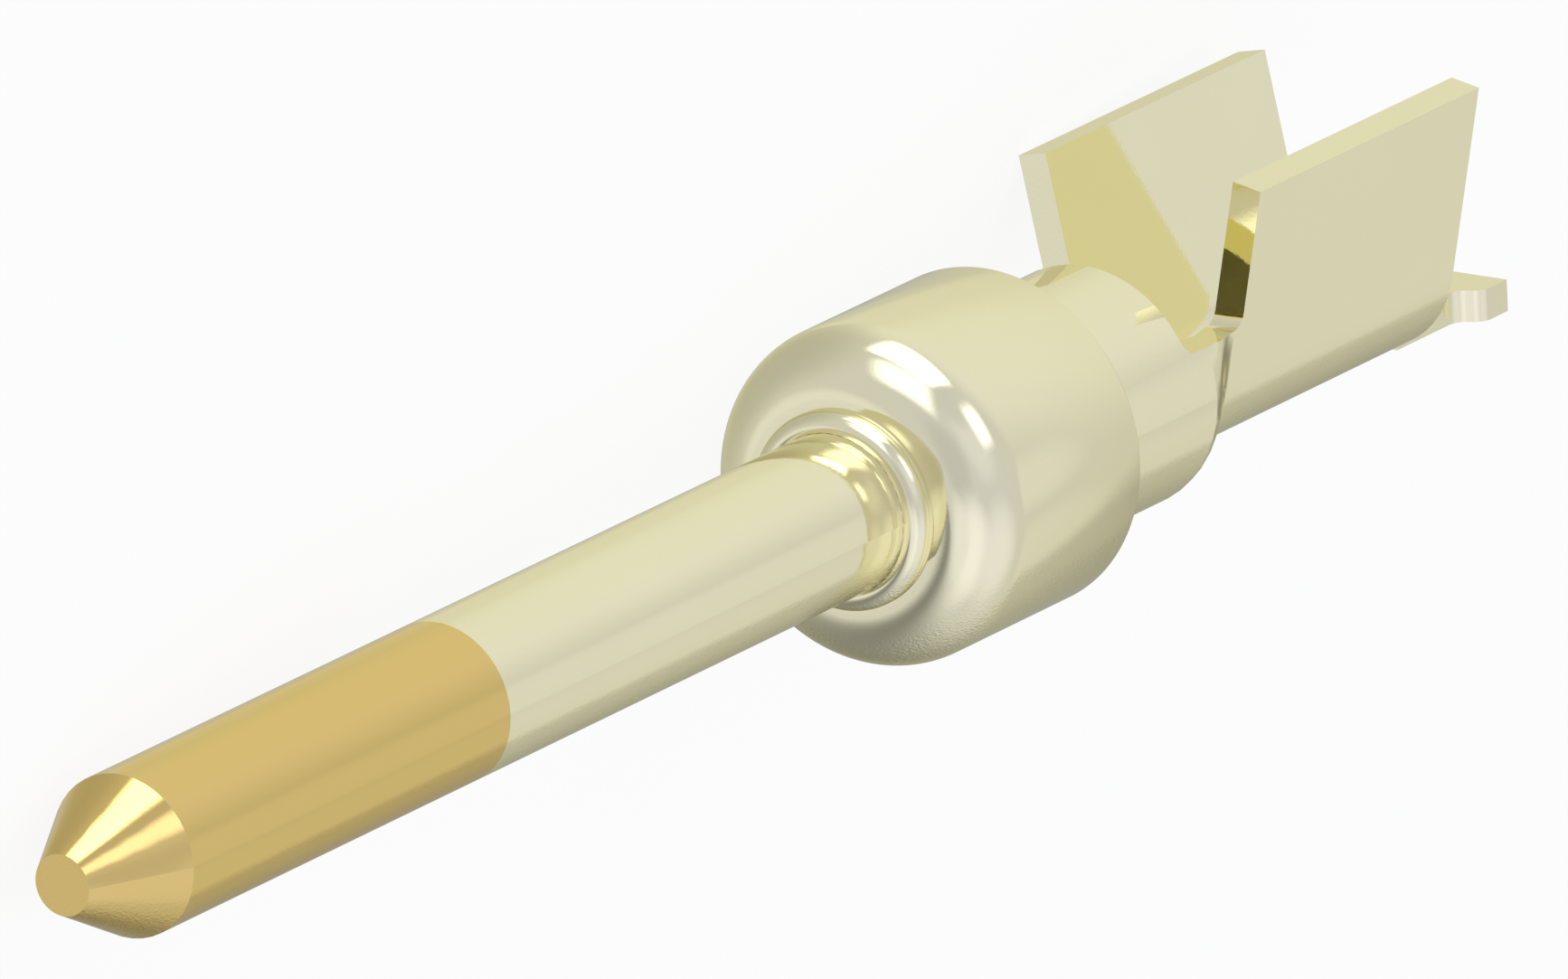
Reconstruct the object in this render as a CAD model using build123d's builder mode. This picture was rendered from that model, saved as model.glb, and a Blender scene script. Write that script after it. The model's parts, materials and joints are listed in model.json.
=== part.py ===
from build123d import *
import os
from math import acos, asin, atan2, cos, degrees, hypot, radians, sin, sqrt

# A crimp pin contact: a solid pin that runs back into a tube, an open barrel bent
# from sheet for the wire, and a sleeve pushed over the pin as the contact's collar.
#
# Every size is in millimetres. Each piece is drawn along +X, the way the pin points,
# with the barrel opening towards +Z and the origin on the axis, at the sleeve's rear
# face. Both pieces are then turned together about that origin to lie as they rest.

# The pin
pin_diameter = 1.02
pin_length = 8.1675
tip_flat_diameter = 0.386
tip_cone_length = 0.632

# The tube that the pin runs back into, and the sheet that it and the barrel are made of;
# at its root, inside the sleeve's lip, the pin swells before it steps out to the tube
sheet = 0.203
tube_diameter = 1.605
tube_length = 1.06
pin_shoulder_radius = 0.12
pin_root_length = 0.2
pin_root_rise = 0.1

# The sleeve over the tube, with its rounded nose; its lip grips the pin and ends in a bead
# that stands forward of the nose's flat face
sleeve_length = 1.63
sleeve_wall = 0.27
sleeve_clearance = 0.008
nose_radius = 0.39
lip_wall = 0.123
bead_radius = 0.093
bead_height = 0.11

# The window between the tube and the wings
window_length = 0.65
window_floor = 0.32
window_corner_radius = 0.09

# The shoulder under the window, where the tube narrows to the barrel
shoulder_start = 0.21
shoulder_length = 0.36
shoulder_sections = 6

# The barrel, bent to a U whose sides lean out as two wings
barrel_inner_radius = 0.44
barrel_rise = 0.07
barrel_length = 2.44
wing_lean = 11.5
wing_length = 1.294

# The tab left where the contact was cut from its strip
tab_length = 1.0
tab_width = 0.73
neck_width = 0.4
neck_length = 0.59
flare_length = 0.22

# Sizes that follow from these
pin_radius = pin_diameter / 2
tube_radius = tube_diameter / 2
bore_radius = tube_radius - sheet
sleeve_bore_radius = tube_radius + sleeve_clearance
collar_radius = sleeve_bore_radius + sleeve_wall
nose_face_radius = collar_radius - nose_radius
bead_ring_radius = pin_radius + lip_wall - bead_radius
barrel_radius = barrel_inner_radius + sheet

# Places along the axis
seat_x = sleeve_length - sleeve_wall
root_x = seat_x + pin_root_length
nose_x = sleeve_length - nose_radius
bead_x = sleeve_length + bead_height - bead_radius
bead_front_x = bead_x + bead_radius
tip_x = bead_front_x + pin_length
cone_x = tip_x - tip_cone_length
tube_end_x = -tube_length
shoulder_x = tube_end_x - shoulder_start
trough_x = shoulder_x - shoulder_length
wing_front_x = tube_end_x - window_length
wing_rear_x = wing_front_x - barrel_length


def trough_outline(outer_radius, rise, turn, side_length, mode=Mode.ADD):
    """The bent sheet's section: a bottom arc that goes on up into two sides, straight or turning in."""
    lean = radians(wing_lean)
    edges, ends = [], {}
    for inset in (0, sheet):
        radius = outer_radius - inset
        foot_y, foot_z = radius * cos(lean), rise - radius * sin(lean)
        edges.append(ThreePointArc((-foot_y, foot_z), (0, rise - radius), (foot_y, foot_z), mode=mode))
        for side in (1, -1):
            foot, way = Vector(side * foot_y, foot_z), Vector(side * sin(lean), cos(lean))
            if turn > 0:
                side_radius = side_length / radians(turn) - inset
                edges.append(JernArc(foot, way, side_radius, side * turn, mode=mode))
            else:
                edges.append(Line(foot, foot + way * side_length, mode=mode))
            ends[inset, side] = edges[-1] @ 1
    for side in (1, -1):
        edges.append(Line(ends[0, side], ends[sheet, side], mode=mode))
    return edges


# The sections of the shoulder, from the tube's to the barrel's, easing in and out
side_reach = window_floor + barrel_radius
tube_turn = degrees(side_reach / tube_radius)
shoulder = []
for step in range(shoulder_sections + 1):
    share = step / shoulder_sections
    ease = share * share * (3 - 2 * share)
    section_radius = tube_radius + ease * (barrel_radius - tube_radius)
    section_turn = (1 - ease) * tube_turn
    section = trough_outline(section_radius, ease * barrel_rise, section_turn, side_reach, Mode.PRIVATE)
    shoulder.append(Plane.YZ.offset(shoulder_x - share * shoulder_length) * Face(Wire(section)))

with BuildPart() as contact_body:
    # The pin, its shoulder and the tube behind it, with the tube's bore
    with BuildSketch(Plane.XY):
        with BuildLine():
            Polyline(
                (tip_x, 0),
                (tip_x, tip_flat_diameter / 2),
                (cone_x, pin_radius),
                (root_x, pin_radius),
            )
            root = TangentArc((root_x, pin_radius), (seat_x, pin_radius + pin_root_rise), tangent=(-1, 0))
            step = Line(root @ 1, (seat_x, tube_radius - pin_shoulder_radius))
            RadiusArc(step @ 1, (seat_x - pin_shoulder_radius, tube_radius), -pin_shoulder_radius)
            Polyline(
                (seat_x - pin_shoulder_radius, tube_radius),
                (shoulder_x, tube_radius),
                (shoulder_x, bore_radius),
                (seat_x - sheet, bore_radius),
                (seat_x - sheet, 0),
                (tip_x, 0),
            )
        make_face()
    revolve(axis=Axis.X)

    loft(shoulder)

    # The barrel and its wings
    with BuildSketch(Plane.YZ.offset(trough_x)):
        with BuildLine():
            trough_outline(barrel_radius, barrel_rise, 0, wing_length)
        make_face()
    extrude(amount=wing_rear_x - trough_x)

    # The window, open upwards, with rounded corners at its floor
    window_top = barrel_rise + barrel_radius + wing_length
    with BuildSketch(Plane.XZ.offset(-window_top)) as window:
        with Locations((wing_front_x, window_floor)):
            Rectangle(window_length, window_top, align=(Align.MIN, Align.MIN))
        fillet(window.vertices().group_by(Axis.Z)[0], window_corner_radius)
    extrude(amount=2 * window_top, mode=Mode.SUBTRACT)

    # The cut-off tab: a narrow neck that flares to the strip's web
    flare_rise = (tab_width - neck_width) / 2
    flare_turn = 2 * degrees(atan2(flare_rise, flare_length))
    flare_radius = flare_length / (2 * sin(radians(flare_turn)))
    flare_x = wing_rear_x - neck_length
    with BuildSketch(Plane.XY.offset(barrel_rise - barrel_radius)):
        with BuildLine():
            neck = Line((wing_rear_x, 0), (wing_rear_x, neck_width / 2))
            side = Line(neck @ 1, (flare_x, neck_width / 2))
            outward = JernArc(side @ 1, (-1, 0), flare_radius, -flare_turn)
            onward = JernArc(outward @ 1, outward % 1, flare_radius, flare_turn)
            edge = Line(onward @ 1, (wing_rear_x - tab_length, tab_width / 2))
            Polyline(edge @ 1, (wing_rear_x - tab_length, 0), (wing_rear_x, 0))
        make_face()
        mirror(about=Plane.XZ)
    extrude(amount=sheet)

with BuildPart() as collar_sleeve:
    with BuildSketch(Plane.XY):
        with BuildLine():
            Polyline(
                (nose_x, sleeve_bore_radius),
                (0, sleeve_bore_radius),
                (0, collar_radius),
                (nose_x, collar_radius),
            )
            RadiusArc((nose_x, collar_radius), (sleeve_length, nose_face_radius), nose_radius)
            crease_radius = bead_ring_radius + sqrt(bead_radius**2 - (bead_x - sleeve_length) ** 2)
            lip_x = bead_x + sqrt(bead_radius**2 - (bead_ring_radius - pin_radius) ** 2)
            Line((sleeve_length, nose_face_radius), (sleeve_length, crease_radius))
            ThreePointArc(
                (sleeve_length, crease_radius),
                (bead_front_x, bead_ring_radius),
                (lip_x, pin_radius),
            )
            bore = Line((lip_x, pin_radius), (root_x, pin_radius))
            swell = TangentArc(bore @ 1, (seat_x, pin_radius + pin_root_rise), tangent=(-1, 0))
            Line(swell @ 1, (seat_x, nose_face_radius))
            RadiusArc((seat_x, nose_face_radius), (nose_x, sleeve_bore_radius), sleeve_wall - nose_radius)
        make_face()
    revolve(axis=Axis.X)

# How it lies: on the nose of the sleeve, the edge of the pin's cone and the front top
# corner of one wing. The plane under the first two leans by rest_pitch from the axis,
# and the wing's corner meets it when the barrel's opening is rest_roll from straight down.
reach = hypot(cone_x - nose_x, nose_face_radius - pin_radius)
fall = atan2(nose_face_radius - pin_radius, cone_x - nose_x)
rest_pitch = asin(nose_radius / reach) + fall
rest_height = cone_x * sin(rest_pitch) + pin_radius * cos(rest_pitch)
corner_y = barrel_radius * cos(radians(wing_lean)) + wing_length * sin(radians(wing_lean))
corner_z = barrel_rise - barrel_radius * sin(radians(wing_lean)) + wing_length * cos(radians(wing_lean))
corner_drop = (rest_height - wing_front_x * sin(rest_pitch)) / (hypot(corner_y, corner_z) * cos(rest_pitch))
rest_roll = atan2(corner_y, corner_z) + acos(corner_drop)
tipped = Location((0, 0, 0), (0, degrees(rest_pitch), 0))
rolled = Location((0, 0, 0), (180 - degrees(rest_roll), 0, 0))
lying = tipped * rolled

os.makedirs("parts", exist_ok=True)
contact_body.part.label = "contact_body"
collar_sleeve.part.label = "collar_sleeve"
export_step(contact_body.part.moved(lying), "parts/contact_body.step")
export_step(collar_sleeve.part.moved(lying), "parts/collar_sleeve.step")
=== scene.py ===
import json
from math import atan2, cos, pi, radians, sqrt, tan

import bmesh
import bpy
from bpy.props import FloatProperty, FloatVectorProperty, PointerProperty
from bpy.types import Operator, Panel, PropertyGroup
from mathutils import Matrix, Vector


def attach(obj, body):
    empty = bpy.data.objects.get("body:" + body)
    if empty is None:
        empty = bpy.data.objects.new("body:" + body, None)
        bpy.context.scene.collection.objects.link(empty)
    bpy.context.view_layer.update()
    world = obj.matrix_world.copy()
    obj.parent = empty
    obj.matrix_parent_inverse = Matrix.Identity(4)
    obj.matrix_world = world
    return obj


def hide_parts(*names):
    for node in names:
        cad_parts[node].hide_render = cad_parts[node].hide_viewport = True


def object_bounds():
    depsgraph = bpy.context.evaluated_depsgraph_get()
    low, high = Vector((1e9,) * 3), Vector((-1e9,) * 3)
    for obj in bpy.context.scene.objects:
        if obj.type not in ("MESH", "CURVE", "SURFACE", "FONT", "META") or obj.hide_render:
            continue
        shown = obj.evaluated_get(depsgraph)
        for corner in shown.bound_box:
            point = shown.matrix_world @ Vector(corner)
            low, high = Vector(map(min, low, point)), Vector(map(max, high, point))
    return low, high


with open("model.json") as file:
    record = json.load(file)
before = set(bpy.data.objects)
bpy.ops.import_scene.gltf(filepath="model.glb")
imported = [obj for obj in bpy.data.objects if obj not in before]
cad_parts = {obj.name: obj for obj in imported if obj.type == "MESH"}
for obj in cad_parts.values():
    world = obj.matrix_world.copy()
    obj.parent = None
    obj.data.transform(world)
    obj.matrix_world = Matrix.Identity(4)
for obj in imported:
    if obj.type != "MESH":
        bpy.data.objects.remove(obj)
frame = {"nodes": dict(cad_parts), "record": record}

bl_info = {
    "name": "Pin Contact Finishes",
    "version": (1, 0, 0),
    "blender": (4, 5, 0),
    "location": "3D Viewport > Sidebar > Contact",
    "description": "Plates a crimp pin contact and sets it in a pale studio",
    "category": "Object",
}

MM = 0.001
BODY = "root"

# The contact's own directions in the frame: along the pin, up out of the barrel's
# opening, and across to the wing that stands free of the floor.
MOUNTS = {mount["name"]: mount for mount in frame["record"]["mounts"]}
ALONG = Vector(MOUNTS["mating_pin"]["axis"]).normalized()
BARREL = Vector(MOUNTS["wire_barrel"]["pos_m"])
OPENING = (BARREL - BARREL.dot(ALONG) * ALONG).normalized()
ACROSS = OPENING.cross(ALONG)
OWN = Matrix((ALONG, ACROSS, OPENING)).transposed().to_4x4()
CAD_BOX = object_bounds()


def own(along, across, opening):
    """A direction or place given along the contact's own three directions."""
    return along * ALONG + across * ACROSS + opening * OPENING


# The camera looks from here towards the contact, with this direction up in the picture
VIEW_FROM = own(0.7845, 0.5455, 0.295)
VIEW_UP = own(-0.2684, -0.1302, 0.9545)

# The key lamp, placed from the middle of the contact in the frame's own directions
LAMP_PLACE = Vector((10, -30, 60)) * MM
LAMP_SIDE = 50 * MM
LAMP_STRENGTH = 0.5

# The room that the metal mirrors. A soft patch has its level, its direction from the contact,
# and the angles in degrees from its centre at which it is full and at which it has faded.
# A lamp box has its level, direction and roll, and such a pair of angles for its half width
# and for its half height. What comes later lies over what comes before.
ROOM_LEVEL = 0.636
WIDE_PATCHES = (
    (0.825, own(-0.78, 0, 0.62), 10, 52),
    (0.455, own(0.02, -0.94, 0.34), 3, 53),
    (0.756, own(0.31, 0.8, 0.51), 9, 31),
    (0.533, own(0.93, 0.34, 0.13), 5, 27),
    (0.61, own(0.34, 0.47, 0.81), 6, 23),
    (0.97, own(0.71, 0.49, -0.51), 5, 33),
    (0.84, own(0.09, 0.81, -0.58), 5, 38),
    (0.79, own(0.785, -0.547, -0.291), 5, 20),
    (0.77, own(-0.79, -0.57, 0.23), 4, 14),
)
DARK_BOX = (0.16, own(-0.23, -0.5, -0.83), 2, (24, 88), (0.5, 47))
LOW_PATCHES = (
    (0.33, own(-0.75, -0.35, -0.55), 5, 25),
    (0.47, own(-0.78, 0.03, -0.62), 5, 18),
    (0.7, own(-0.78, 0.37, -0.5), 5, 15),
    (0.86, own(0.91, 0.17, -0.37), 4, 18),
    (0.74, own(-0.785, 0.61, -0.08), 3, 14),
)
LAMP_BOXES = (
    (1.7, own(-0.04, 0.788, 0.616), 0, (5, 17), (5, 17)),
    (1.7, own(0.62, 0.0, 0.79), 0, (9, 23), (9, 23)),
    (3.2, own(0.009, 0.02, 1), -15, (11, 21), (14, 25)),
)

# The room's tint turns from warm to cool towards this side
WARM_TINT = (0.99, 1.0, 0.87, 1.0)
COOL_TINT = (0.985, 1.0, 1.165, 1.0)
COOL_SIDE = own(0.62, 0.79, 0)
TINT_REACH = 1.3

# Steps that round the turned sleeve, and the angle above which its edges stay sharp
BEAD_STEPS = 20
SEAT_STEPS = 8
EDGE_STEPS = 2
NOSE_STEPS = 32
TURN_STEPS = 160
SHARP_ANGLE = radians(24)


class PlateSettings(PropertyGroup):
    """Colours and grain of the plated metal."""

    pale: FloatVectorProperty(
        name="Pale Plate",
        description="Colour of the bright pale plate",
        subtype="COLOR",
        size=3,
        min=0.0,
        max=1.0,
        default=(0.93, 0.885, 0.63),
    )
    gold: FloatVectorProperty(
        name="Gold",
        description="Colour of the gold over the front of the pin",
        subtype="COLOR",
        size=3,
        min=0.0,
        max=1.0,
        default=(0.8, 0.587, 0.215),
    )
    gold_edge: FloatProperty(
        name="Gold Edge",
        description="Distance from the collar's rear face to where the gold starts",
        unit="LENGTH",
        default=5.951 * MM,
    )
    roughness: FloatProperty(
        name="Roughness",
        description="Roughness of the plate",
        subtype="FACTOR",
        min=0.0,
        max=1.0,
        default=0.045,
    )
    grain: FloatProperty(
        name="Grain",
        description="Width of the finest grain in the plate",
        unit="LENGTH",
        default=0.02 * MM,
    )
    # Painted light: the lighter, duller plate inside the tube's bore stands in for the light that would
    # bounce into the deep blind bore
    bore_painted_light_colour: FloatVectorProperty(
        name="Bore",
        description="Colour of the duller plate inside the tube's bore",
        subtype="COLOR",
        size=3,
        min=0.0,
        max=1.0,
        default=(0.98, 0.95, 0.7),
    )
    bore_radius: FloatProperty(
        name="Bore Radius",
        description="Radius that the tube's bore lies within",
        unit="LENGTH",
        default=0.602 * MM,
    )
    bore_mouth: FloatProperty(
        name="Bore Mouth",
        description="Distance of the bore's mouth behind the collar's rear face",
        unit="LENGTH",
        default=1.06 * MM,
    )
    bore_end: FloatProperty(
        name="Bore End",
        description="Distance from the collar's rear face forward past the bore's blind end",
        unit="LENGTH",
        default=1.2 * MM,
    )


class SleeveSettings(PropertyGroup):
    """Sizes of the collar's sleeve, from its rear face forward and from the axis outward."""

    length: FloatProperty(
        name="Length",
        description="Length of the sleeve up to the flat of its nose",
        unit="LENGTH",
        default=1.63 * MM,
    )
    radius: FloatProperty(
        name="Radius",
        description="Outer radius of the sleeve",
        unit="LENGTH",
        default=1.0805 * MM,
    )
    bore: FloatProperty(
        name="Bore",
        description="Radius of the bore that the tube fills",
        unit="LENGTH",
        default=0.8105 * MM,
    )
    wall: FloatProperty(
        name="Wall",
        description="Thickness of the sleeve's wall and of its nose",
        unit="LENGTH",
        default=0.27 * MM,
    )
    nose: FloatProperty(
        name="Nose",
        description="Radius that rounds the nose",
        unit="LENGTH",
        default=0.39 * MM,
    )
    pin: FloatProperty(
        name="Pin",
        description="Radius of the pin that the lip grips",
        unit="LENGTH",
        default=0.51 * MM,
    )
    bead: FloatProperty(
        name="Bead",
        description="Radius of the bead's own section",
        unit="LENGTH",
        default=0.093 * MM,
    )
    bead_ring: FloatProperty(
        name="Bead Ring",
        description="Radius of the ring that the bead's section is centred on",
        unit="LENGTH",
        default=0.54 * MM,
    )
    bead_height: FloatProperty(
        name="Bead Height",
        description="How far the bead stands forward of the nose's flat",
        unit="LENGTH",
        default=0.11 * MM,
    )
    edge: FloatProperty(
        name="Edge",
        description="Rounding of the rear edges",
        unit="LENGTH",
        default=0.006 * MM,
    )


class StageSettings(PropertyGroup):
    """The camera, the floor and the room."""

    lens: FloatProperty(
        name="Lens",
        description="Focal length of the camera in millimetres",
        default=1000.0,
    )
    frame_width: FloatProperty(
        name="Frame Width",
        description="Width that the picture takes in at the contact",
        unit="LENGTH",
        default=9.484 * MM,
    )
    aim: FloatVectorProperty(
        name="Aim",
        description="Where the camera looks, along, across and out of the contact",
        subtype="TRANSLATION",
        size=3,
        default=(2.273 * MM, 0.017 * MM, 0.309 * MM),
    )
    floor_colour: FloatVectorProperty(
        name="Floor",
        description="Colour of the floor",
        subtype="COLOR",
        size=3,
        min=0.0,
        max=1.0,
        default=(0.95, 0.94, 0.9),
    )
    floor_white: FloatProperty(
        name="Floor White",
        description="Share of plain white in what the camera sees of the floor",
        subtype="FACTOR",
        min=0.0,
        max=1.0,
        default=0.9,
    )
    room_white: FloatProperty(
        name="Room White",
        description="Share of the white background in what the metal mirrors",
        subtype="FACTOR",
        min=0.0,
        max=1.0,
        default=0.12,
    )


def node(tree, kind, place=(0, 0), **values):
    """A shader node with its settings."""
    made = tree.nodes.new("ShaderNode" + kind)
    made.location = place
    for name, value in values.items():
        setattr(made, name, value)
    return made


def maths(tree, operation, first, second=None):
    """The result of a sum on sockets or numbers."""
    made = node(tree, "Math", operation=operation)
    for socket, value in zip(made.inputs, (first, second)):
        if isinstance(value, float):
            socket.default_value = value
        elif value is not None:
            tree.links.new(value, socket)
    return made.outputs["Value"]


def leaning(tree, look, direction):
    """How far a looked-up direction leans towards a given one."""
    made = node(tree, "VectorMath", operation="DOT_PRODUCT")
    made.inputs[1].default_value = direction
    tree.links.new(look, made.inputs[0])
    return made.outputs["Value"]


def rise(tree, value, low, high):
    """A smooth step from 0 at low to 1 at high."""
    made = node(tree, "MapRange", interpolation_type="SMOOTHSTEP")
    made.inputs["From Min"].default_value = low
    made.inputs["From Max"].default_value = high
    tree.links.new(value, made.inputs["Value"])
    return made.outputs["Result"]


def blended(tree, level, target, mask):
    """A level, given as a socket or a number, brought to a target where the mask is 1."""
    made = node(tree, "Mix")
    made.inputs["B"].default_value = target
    if isinstance(level, float):
        made.inputs["A"].default_value = level
    else:
        tree.links.new(level, made.inputs["A"])
    tree.links.new(mask, made.inputs["Factor"])
    return made.outputs["Result"]


def mixed_colour(tree, colour, other, mask):
    """A colour changed to another where the mask is 1."""
    mix = node(tree, "Mix", data_type="RGBA")
    mix.inputs["B"].default_value = (*other, 1.0)
    tree.links.new(mask, mix.inputs["Factor"])
    tree.links.new(colour, mix.inputs["A"])
    return mix.outputs["Result"]


def patch(tree, look, level, target, centre, inner, outer):
    """A soft round patch of the room, between two angles from its centre."""
    facing = leaning(tree, look, centre.normalized())
    mask = rise(tree, facing, cos(radians(outer)), cos(radians(inner)))
    return blended(tree, level, target, mask)


def softbox(tree, look, level, target, centre, roll, width, height):
    """A lamp box of the room, its half width and half height each given as an inner and an outer angle."""
    ahead = centre.normalized()
    side = (ALONG - ALONG.dot(ahead) * ahead).normalized()
    side.rotate(Matrix.Rotation(radians(roll), 3, ahead))
    facing = leaning(tree, look, ahead)
    mask = maths(tree, "GREATER_THAN", facing, 0.0)
    for direction, (inner, outer) in ((side, width), (ahead.cross(side), height)):
        offset = maths(tree, "ABSOLUTE", maths(tree, "DIVIDE", leaning(tree, look, direction), facing))
        inside = rise(tree, offset, tan(radians(outer)), tan(radians(inner)))
        mask = maths(tree, "MULTIPLY", mask, inside)
    return blended(tree, level, target, mask)


def plate_material(name, settings, on_body):
    """Bright plate with a fine grain, and on the body the gold front and, inside the bore, a lighter
    duller plate that is painted light standing in for light bounced into the bore.
    """
    material = bpy.data.materials.new(name)
    material.use_nodes = True
    tree = material.node_tree
    tree.nodes.clear()
    link = tree.links.new
    output = node(tree, "OutputMaterial", (600, 0))
    shader = node(tree, "BsdfPrincipled", (300, 0))
    link(shader.outputs["BSDF"], output.inputs["Surface"])
    shader.inputs["Metallic"].default_value = 1.0
    shader.inputs["Specular Tint"].default_value = (0.93, 0.9, 0.75, 1.0)
    place = node(tree, "TexCoord", (-1100, 0))
    spot = place.outputs["Object"]

    mottle = node(tree, "TexNoise", (-700, -200))
    mottle.inputs["Scale"].default_value = 1.0 / (0.9 * MM)
    mottle.inputs["Detail"].default_value = 4.0
    link(spot, mottle.inputs["Vector"])
    spread = node(tree, "MapRange", (-400, -200))
    spread.inputs["To Min"].default_value = settings.roughness * 0.8
    spread.inputs["To Max"].default_value = settings.roughness * 1.2
    link(mottle.outputs["Fac"], spread.inputs["Value"])
    roughness = spread.outputs["Result"]

    tone = node(tree, "Mix", (-100, 300), data_type="RGBA")
    tone.inputs["A"].default_value = (*settings.pale, 1.0)
    tone.inputs["B"].default_value = (*(0.97 * c for c in settings.pale), 1.0)
    link(mottle.outputs["Fac"], tone.inputs["Factor"])
    colour = tone.outputs["Result"]

    # The grain is stronger on the faces turned away from the barrel's opening
    grain = node(tree, "TexNoise", (-700, -500))
    grain.inputs["Scale"].default_value = 1.0 / settings.grain
    grain.inputs["Detail"].default_value = 2.0
    link(spot, grain.inputs["Vector"])
    under = node(tree, "MapRange", (-400, -700), interpolation_type="SMOOTHSTEP")
    under.inputs["From Min"].default_value = 0.25
    under.inputs["From Max"].default_value = 0.65
    under.inputs["To Min"].default_value = 0.03
    link(leaning(tree, place.outputs["Normal"], -OPENING), under.inputs["Value"])
    bump = node(tree, "Bump", (0, -400))
    bump.inputs["Distance"].default_value = settings.grain * 0.28
    link(under.outputs["Result"], bump.inputs["Strength"])
    link(grain.outputs["Fac"], bump.inputs["Height"])
    link(bump.outputs["Normal"], shader.inputs["Normal"])

    if on_body:
        reach = leaning(tree, spot, ALONG)
        past = maths(tree, "GREATER_THAN", reach, settings.gold_edge)
        colour = mixed_colour(tree, colour, settings.gold, past)
        # Inside the bore, by the distance from the axis and along it, the plate turns lighter, duller and
        # less metallic: painted light standing in for the light that would bounce into the deep blind bore
        square = node(tree, "VectorMath", operation="DOT_PRODUCT")
        link(spot, square.inputs[0])
        link(spot, square.inputs[1])
        apart = maths(tree, "SUBTRACT", square.outputs["Value"], maths(tree, "MULTIPLY", reach, reach))
        inside = maths(tree, "LESS_THAN", apart, settings.bore_radius**2)
        inside = maths(tree, "MULTIPLY", inside, maths(tree, "LESS_THAN", reach, settings.bore_end))
        mouth = -settings.bore_mouth
        inside = maths(tree, "MULTIPLY", inside, rise(tree, reach, mouth, mouth + 0.1 * MM))
        colour = mixed_colour(tree, colour, settings.bore_painted_light_colour, inside)
        roughness = blended(tree, roughness, 0.3, inside)
        metal = node(tree, "MapRange")
        metal.inputs["To Min"].default_value = 1.0
        metal.inputs["To Max"].default_value = 0.5
        link(inside, metal.inputs["Value"])
        link(metal.outputs["Result"], shader.inputs["Metallic"])
    link(roughness, shader.inputs["Roughness"])
    link(colour, shader.inputs["Base Color"])
    return material


def area_lamp(name, place, target, width, height, strength):
    """A rectangular lamp that faces its target, with the strength given as its radiance."""
    lamp = bpy.data.lights.new(name, "AREA")
    lamp.shape = "RECTANGLE"
    lamp.size, lamp.size_y = width, height
    lamp.energy = strength * pi * width * height
    thing = bpy.data.objects.new(name, lamp)
    bpy.context.scene.collection.objects.link(thing)
    away = (Vector(target) - Vector(place)).normalized()
    thing.matrix_world = Matrix.Translation(place) @ away.to_track_quat("-Z", "Y").to_matrix().to_4x4()
    return thing


def swept(mesh, start, centre, turn, steps):
    """A chain of points from a start, swept about a centre in the profile's plane."""
    first = mesh.verts.new(start)
    before = set(mesh.verts)
    bmesh.ops.spin(mesh, geom=[first], cent=centre, axis=(0, -1, 0), angle=turn, steps=steps)
    return [first] + [vert for vert in mesh.verts if vert not in before]


def round_corners(mesh, corners, radius, segments):
    """Round corners of the profile's face."""
    bmesh.ops.bevel(
        mesh,
        geom=corners,
        offset=radius,
        offset_type="OFFSET",
        segments=segments,
        profile=0.5,
        affect="VERTICES",
        material=-1,
        clamp_overlap=False,
    )


def finished(mesh, name, crease):
    """The mesh as an object in the frame, smooth up to a crease angle."""
    bmesh.ops.remove_doubles(mesh, verts=mesh.verts[:], dist=1e-5)
    bmesh.ops.recalc_face_normals(mesh, faces=mesh.faces[:])
    data = bpy.data.meshes.new(name)
    mesh.to_mesh(data)
    mesh.free()
    data.transform(OWN @ Matrix.Scale(MM, 4))
    data.shade_smooth()
    data.set_sharp_from_angle(angle=crease)
    thing = bpy.data.objects.new(name, data)
    bpy.context.scene.collection.objects.link(thing)
    return thing


class CONTACT_OT_plate_body(Operator):
    """Give the contact's formed body its pale plate and the gold on the front of its pin"""

    bl_idname = "contact.plate_body"
    bl_label = "Plate Body"

    def execute(self, context):
        material = plate_material("pale_and_gold_plate", context.scene.contact_plate, True)
        frame["nodes"]["contact_body"].material_slots[0].material = material
        return {"FINISHED"}


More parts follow.
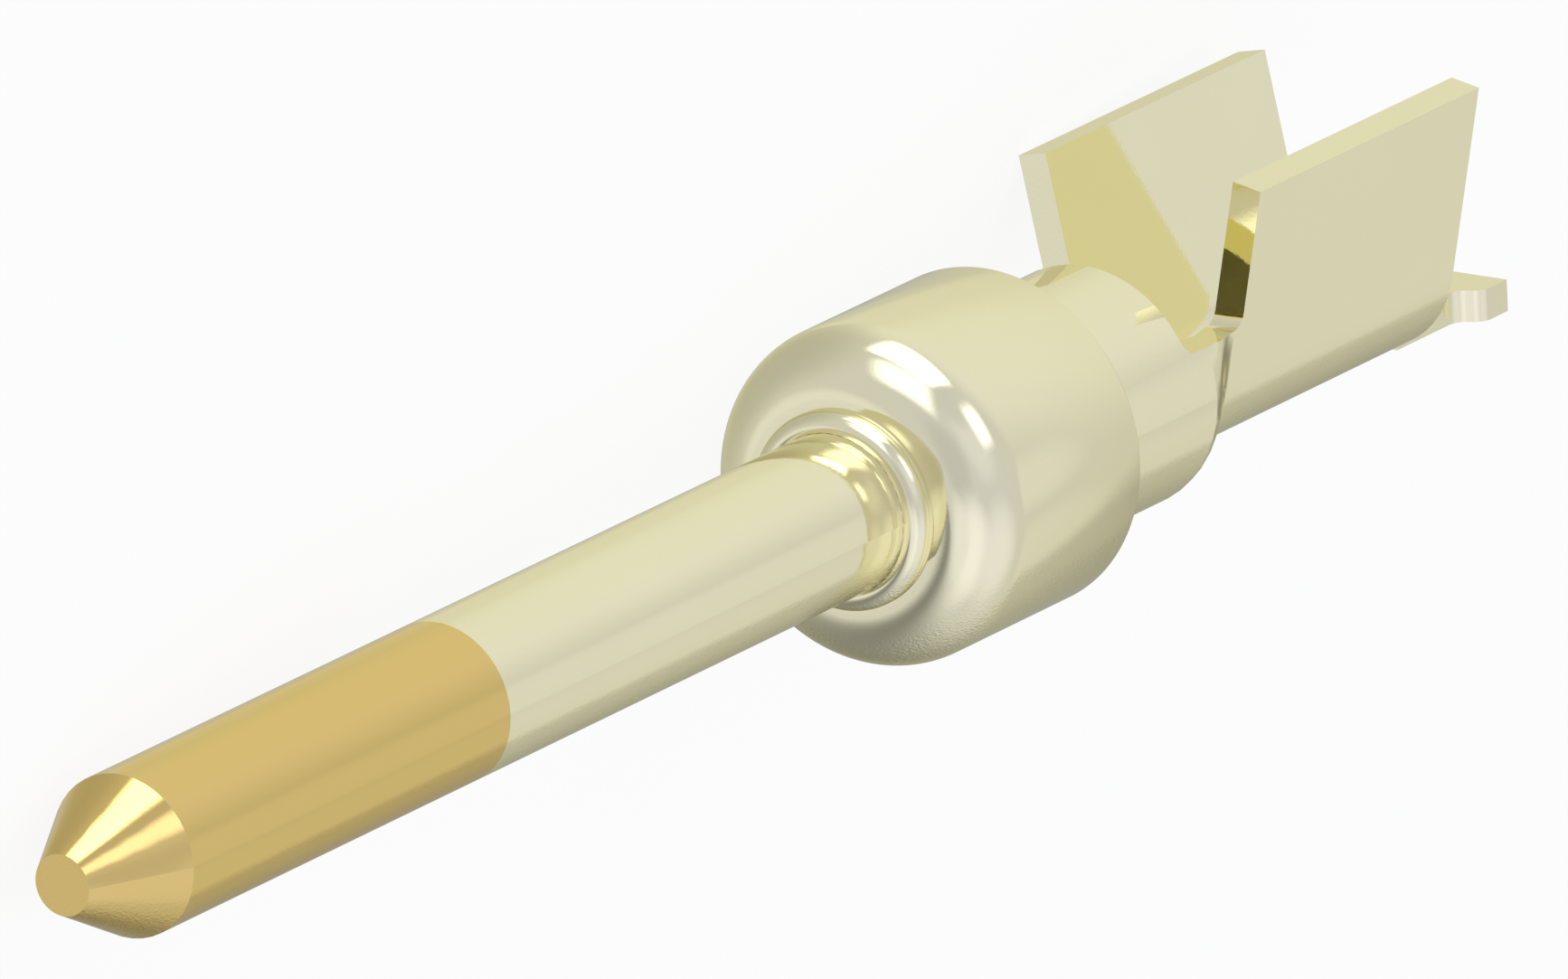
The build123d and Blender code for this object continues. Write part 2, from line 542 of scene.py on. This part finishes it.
class CONTACT_OT_turn_sleeve(Operator):
    """Turn the collar's sleeve, with its rounded nose and the bead around the pin"""

    bl_idname = "contact.turn_sleeve"
    bl_label = "Turn Sleeve"

    def execute(self, context):
        sizes = context.scene.contact_sleeve
        length, radius, bore, wall = (v / MM for v in (sizes.length, sizes.radius, sizes.bore, sizes.wall))
        nose, pin, edge = (v / MM for v in (sizes.nose, sizes.pin, sizes.edge))
        bead, ring, height = (v / MM for v in (sizes.bead, sizes.bead_ring, sizes.bead_height))

        mesh = bmesh.new()
        centre = Vector((length + height - bead, 0.0, ring))
        crease = Vector((length, 0.0, ring + sqrt(bead**2 - (centre.x - length) ** 2)))
        lip = Vector((centre.x + sqrt(bead**2 - (ring - pin) ** 2), 0.0, pin))
        start, end = crease - centre, lip - centre
        turn = atan2(start.z, start.x) - atan2(end.z, end.x)
        round_bead = swept(mesh, crease, centre, -turn, BEAD_STEPS)
        corners = [
            mesh.verts.new((x, 0.0, r))
            for x, r in (
                (length - wall, pin),
                (length - wall, bore),
                (0.0, bore),
                (0.0, radius),
                (length, radius),
            )
        ]
        mesh.faces.new(round_bead + corners)
        round_corners(mesh, [corners[1]], nose - wall, SEAT_STEPS)
        round_corners(mesh, corners[2:4], edge, EDGE_STEPS)
        round_corners(mesh, [corners[4]], nose, NOSE_STEPS)
        bmesh.ops.delete(mesh, geom=mesh.faces[:], context="FACES_ONLY")
        bmesh.ops.spin(
            mesh,
            geom=mesh.verts[:] + mesh.edges[:],
            cent=(0, 0, 0),
            axis=(1, 0, 0),
            angle=2 * pi,
            steps=TURN_STEPS,
            use_merge=True,
        )
        sleeve = finished(mesh, "turned_sleeve", SHARP_ANGLE)
        sleeve.data.materials.append(plate_material("pale_plate", context.scene.contact_plate, False))
        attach(sleeve, BODY)
        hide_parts("collar_sleeve")
        return {"FINISHED"}


class CONTACT_OT_stage(Operator):
    """Set the camera, the floor, the room and the lamp"""

    bl_idname = "contact.stage"
    bl_label = "Stage"

    def execute(self, context):
        settings = context.scene.contact_stage
        self.add_camera(context, settings)
        self.add_floor(settings)
        self.add_world(context, settings)
        middle = own(1.5 * MM, 0, 0)
        lamp = area_lamp("key_lamp", middle + LAMP_PLACE, middle, LAMP_SIDE, LAMP_SIDE, LAMP_STRENGTH)
        lamp.visible_glossy = False
        context.scene.view_settings.view_transform = "Standard"
        return {"FINISHED"}

    def add_camera(self, context, settings):
        camera = bpy.data.cameras.new("camera")
        camera.lens = settings.lens
        camera.sensor_width = 36.0
        camera.clip_start, camera.clip_end = 0.01, 10.0
        thing = bpy.data.objects.new("camera", camera)
        context.scene.collection.objects.link(thing)
        away = VIEW_FROM.normalized()
        right = VIEW_UP.cross(away).normalized()
        up = away.cross(right)
        distance = settings.frame_width * settings.lens / camera.sensor_width
        place = own(*settings.aim) + distance * away
        turn = Matrix((right, up, away)).transposed().to_4x4()
        thing.matrix_world = Matrix.Translation(place) @ turn
        context.scene.camera = thing

    def add_floor(self, settings):
        mesh = bmesh.new()
        bmesh.ops.create_grid(mesh, x_segments=1, y_segments=1, size=1.0)
        bmesh.ops.translate(mesh, verts=mesh.verts[:], vec=(0, 0, CAD_BOX[0].z))
        data = bpy.data.meshes.new("floor")
        mesh.to_mesh(data)
        mesh.free()
        floor = bpy.data.objects.new("floor", data)
        bpy.context.scene.collection.objects.link(floor)
        floor.visible_glossy = False
        material = bpy.data.materials.new("floor")
        material.use_nodes = True
        tree = material.node_tree
        link = tree.links.new
        output = tree.nodes["Material Output"]
        shader = tree.nodes["Principled BSDF"]
        shader.inputs["Base Color"].default_value = (*settings.floor_colour, 1.0)
        shader.inputs["Roughness"].default_value = 0.9
        shader.inputs["Specular IOR Level"].default_value = 0.0
        white = node(tree, "Emission", (0, 300))
        path = node(tree, "LightPath", (-400, 500))
        seen = maths(tree, "MAXIMUM", path.outputs["Is Camera Ray"], path.outputs["Is Glossy Ray"])
        seen = maths(tree, "MAXIMUM", seen, path.outputs["Is Transmission Ray"])
        mix = node(tree, "MixShader", (200, 300))
        link(maths(tree, "MULTIPLY", seen, settings.floor_white), mix.inputs["Fac"])
        link(shader.outputs["BSDF"], mix.inputs[1])
        link(white.outputs["Emission"], mix.inputs[2])
        link(mix.outputs["Shader"], output.inputs["Surface"])
        data.materials.append(material)

    def add_world(self, context, settings):
        world = bpy.data.worlds.new("studio")
        context.scene.world = world
        world.use_nodes = True
        tree = world.node_tree
        tree.nodes.clear()
        link = tree.links.new
        look = node(tree, "TexCoord", (-900, -100)).outputs["Generated"]

        level = ROOM_LEVEL
        for shade in WIDE_PATCHES:
            level = patch(tree, look, level, *shade)
        level = softbox(tree, look, level, *DARK_BOX)
        for shade in LOW_PATCHES:
            level = patch(tree, look, level, *shade)
        for box in LAMP_BOXES:
            level = softbox(tree, look, level, *box)

        tint = node(tree, "Mix", data_type="RGBA")
        tint.inputs["A"].default_value = WARM_TINT
        tint.inputs["B"].default_value = COOL_TINT
        link(rise(tree, leaning(tree, look, COOL_SIDE), -TINT_REACH, TINT_REACH), tint.inputs["Factor"])
        room = node(tree, "Background")
        link(tint.outputs["Result"], room.inputs["Color"])
        link(level, room.inputs["Strength"])

        white = node(tree, "Background", (0, 200))
        white.inputs["Color"].default_value = (1.0, 1.0, 1.0, 1.0)
        path = node(tree, "LightPath", (0, 500))
        mirrored = maths(tree, "MULTIPLY", path.outputs["Is Glossy Ray"], settings.room_white)
        seen = maths(tree, "MAXIMUM", path.outputs["Is Camera Ray"], path.outputs["Is Transmission Ray"])
        mix = node(tree, "MixShader", (300, 0))
        link(maths(tree, "MAXIMUM", seen, mirrored), mix.inputs["Fac"])
        link(room.outputs["Background"], mix.inputs[1])
        link(white.outputs["Background"], mix.inputs[2])
        output = node(tree, "OutputWorld", (600, 0))
        link(mix.outputs["Shader"], output.inputs["Surface"])


class CONTACT_PT_panel(Panel):
    """The steps of dressing the contact"""

    bl_idname = "CONTACT_PT_panel"
    bl_label = "Pin Contact"
    bl_space_type = "VIEW_3D"
    bl_region_type = "UI"
    bl_category = "Contact"

    def draw(self, context):
        for step in STEPS:
            self.layout.operator("contact." + step)


STEPS = ("stage", "plate_body", "turn_sleeve")

CLASSES = (
    PlateSettings,
    SleeveSettings,
    StageSettings,
    CONTACT_OT_plate_body,
    CONTACT_OT_turn_sleeve,
    CONTACT_OT_stage,
    CONTACT_PT_panel,
)


def register():
    for cls in CLASSES:
        bpy.utils.register_class(cls)
    bpy.types.Scene.contact_plate = PointerProperty(type=PlateSettings)
    bpy.types.Scene.contact_sleeve = PointerProperty(type=SleeveSettings)
    bpy.types.Scene.contact_stage = PointerProperty(type=StageSettings)


def unregister():
    del bpy.types.Scene.contact_stage
    del bpy.types.Scene.contact_sleeve
    del bpy.types.Scene.contact_plate
    for cls in reversed(CLASSES):
        bpy.utils.unregister_class(cls)


def main():
    register()
    for step in STEPS:
        getattr(bpy.ops.contact, step)()


if __name__ == "__main__":
    main()
